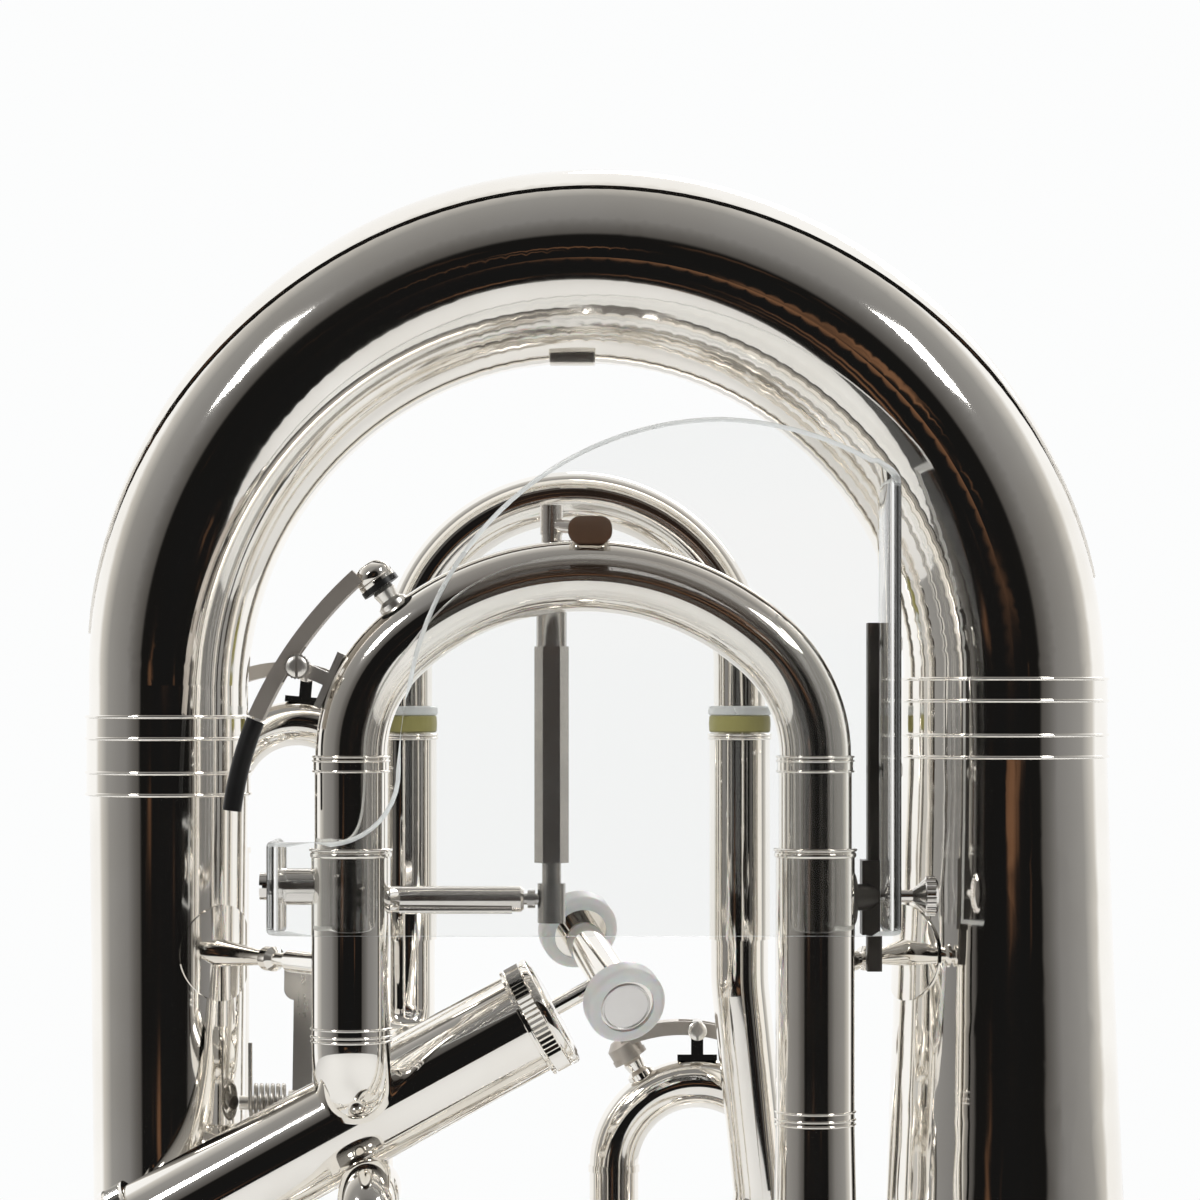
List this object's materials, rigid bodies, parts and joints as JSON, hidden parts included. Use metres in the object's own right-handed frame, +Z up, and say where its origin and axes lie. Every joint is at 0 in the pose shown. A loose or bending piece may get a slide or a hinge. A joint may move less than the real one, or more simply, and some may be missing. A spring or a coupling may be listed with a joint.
{
  "type": "tuba",
  "caption": "Upright piston-valve tuba standing on its bell, with a slanting extra valve, tuning slides, water keys and a clear hand guard.",
  "frame": {"origin": "middle of the bell's mouth, on the surface it stands on", "axes": "+Z up the bell from its mouth to the bottom bow, -Y towards the main tuning slide, -X towards the big leg"},
  "size_m": [0.5618, 0.428, 0.9013],
  "materials": {
    "silver": "silver plated brass, mirror polished",
    "clear_acrylic": "clear cast acrylic, polished edges",
    "black_metal": "satin black",
    "white_nylon": "translucent white, satin",
    "black_rubber": "matte",
    "olive_felt": "olive yellow rings with clear rings",
    "spring_steel": "drawn wire",
    "satin_steel": "silver plated, lightly satin"
  },
  "bodies": {
    "body": {"bell": "silver", "bottom_bow": "silver", "bow_guard": "silver", "bow_ferrules": "silver", "big_leg": "silver", "top_bow": "silver", "right_sleeve": "silver", "left_sleeve": "silver", "sleeve_rings": "silver", "first_casing": "silver", "second_casing": "silver", "third_casing": "silver", "fourth_casing": "silver", "bottom_caps": "silver", "top_caps": "silver", "fourth_bottom_cap": "silver", "fourth_top_cap": "silver", "first_valve_spring": "spring_steel", "second_valve_spring": "spring_steel", "third_valve_spring": "spring_steel", "fourth_valve_spring": "spring_steel", "link_tubes": "silver", "fourth_left_branch": "silver", "fourth_right_branch": "silver", "third_branches": "silver", "first_branches": "silver", "second_branches": "silver", "leadpipe": "silver", "mouthpiece_receiver": "silver", "guard_sheet": "clear_acrylic", "guard_bar": "black_metal", "guard_screws": "silver", "rod_barrel": "satin_steel", "rod_arm": "satin_steel", "spool": "silver", "spool_rings": "white_nylon", "left_brace": "silver", "right_brace": "silver", "trigger_axle": "satin_steel", "trigger_spring": "spring_steel"},
    "main_slide": {"main_slide_bow": "silver", "main_slide_legs": "silver", "main_key_seat": "silver", "rod_plunger": "satin_steel"},
    "main_key": {"main_key_lever": "satin_steel", "main_key_pad": "black_rubber", "main_key_grip": "black_rubber"},
    "fourth_slide": {"fourth_slide": "silver", "fourth_slide_bumpers": "olive_felt"},
    "third_slide": {"third_slide": "silver"},
    "third_key": {"third_key": "satin_steel"},
    "first_slide": {"first_slide": "silver"},
    "first_key": {"first_key": "satin_steel"},
    "second_slide": {"second_slide": "silver"},
    "first_piston": {"first_piston": "silver"},
    "second_piston": {"second_piston": "silver"},
    "third_piston": {"third_piston": "silver"},
    "fourth_piston": {"fourth_piston": "silver"},
    "thumb_screw": {"thumb_screw": "silver"},
    "trigger": {"trigger_lever": "satin_steel"}
  },
  "joints": [
    {"name": "main_slide_pull", "type": "slide", "parent": "body", "child": "main_slide", "axis": [0, 0, 1], "range_m": [0, 0.05]},
    {"name": "main_key_press", "type": "hinge", "parent": "main_slide", "child": "main_key", "pos_m": [-0.24709, -0.085, 0.72214], "axis": [0, -1, 0], "range_deg": [0, 14], "stiffness_Nm_per_rad": 0.15, "springref_deg": -17.19},
    {"name": "fourth_slide_pull", "type": "slide", "parent": "body", "child": "fourth_slide", "axis": [0, 0, 1], "range_m": [0, 0.04]},
    {"name": "third_slide_pull", "type": "slide", "parent": "body", "child": "third_slide", "axis": [0, 0, 1], "range_m": [0, 0.035]},
    {"name": "third_key_press", "type": "hinge", "parent": "third_slide", "child": "third_key", "pos_m": [-0.25633, 0.075, 0.72122], "axis": [0, -1, 0], "range_deg": [-14, 0], "stiffness_Nm_per_rad": 0.15, "springref_deg": 17.19},
    {"name": "first_slide_pull", "type": "slide", "parent": "body", "child": "first_slide", "axis": [0, 0, 1], "range_m": [0, 0.035]},
    {"name": "first_key_press", "type": "hinge", "parent": "first_slide", "child": "first_key", "pos_m": [-0.1086, 0.075, 0.5858], "axis": [0, -1, 0], "range_deg": [-14, 0], "stiffness_Nm_per_rad": 0.15, "springref_deg": 17.19},
    {"name": "second_slide_pull", "type": "slide", "parent": "body", "child": "second_slide", "axis": [0, -1, 0], "range_m": [0, 0.022]},
    {"name": "first_valve_press", "type": "slide", "parent": "body", "child": "first_piston", "axis": [0, 0, 1], "range_m": [0, 0.019], "stiffness_N_per_m": 160, "springref_m": -0.02, "deforming": ["first_valve_spring"]},
    {"name": "second_valve_press", "type": "slide", "parent": "body", "child": "second_piston", "axis": [0, 0, 1], "range_m": [0, 0.019], "stiffness_N_per_m": 160, "springref_m": -0.02, "deforming": ["second_valve_spring"]},
    {"name": "third_valve_press", "type": "slide", "parent": "body", "child": "third_piston", "axis": [0, 0, 1], "range_m": [0, 0.019], "stiffness_N_per_m": 160, "springref_m": -0.02, "deforming": ["third_valve_spring"]},
    {"name": "fourth_valve_press", "type": "slide", "parent": "body", "child": "fourth_piston", "axis": [0.8746, 0, 0.4848], "range_m": [0, 0.019], "stiffness_N_per_m": 160, "springref_m": -0.02, "deforming": ["fourth_valve_spring"]},
    {"name": "thumb_screw_turn", "type": "hinge", "parent": "body", "child": "thumb_screw", "pos_m": [-0.045, -0.0615, 0.6435], "axis": [1, 0, 0], "continuous": true},
    {"name": "trigger_press", "type": "hinge", "parent": "body", "child": "trigger", "pos_m": [-0.25175, -0.01, 0.567], "axis": [1, 0, 0], "range_deg": [0, 22], "stiffness_Nm_per_rad": 0.25, "springref_deg": -17.19}
  ]
}
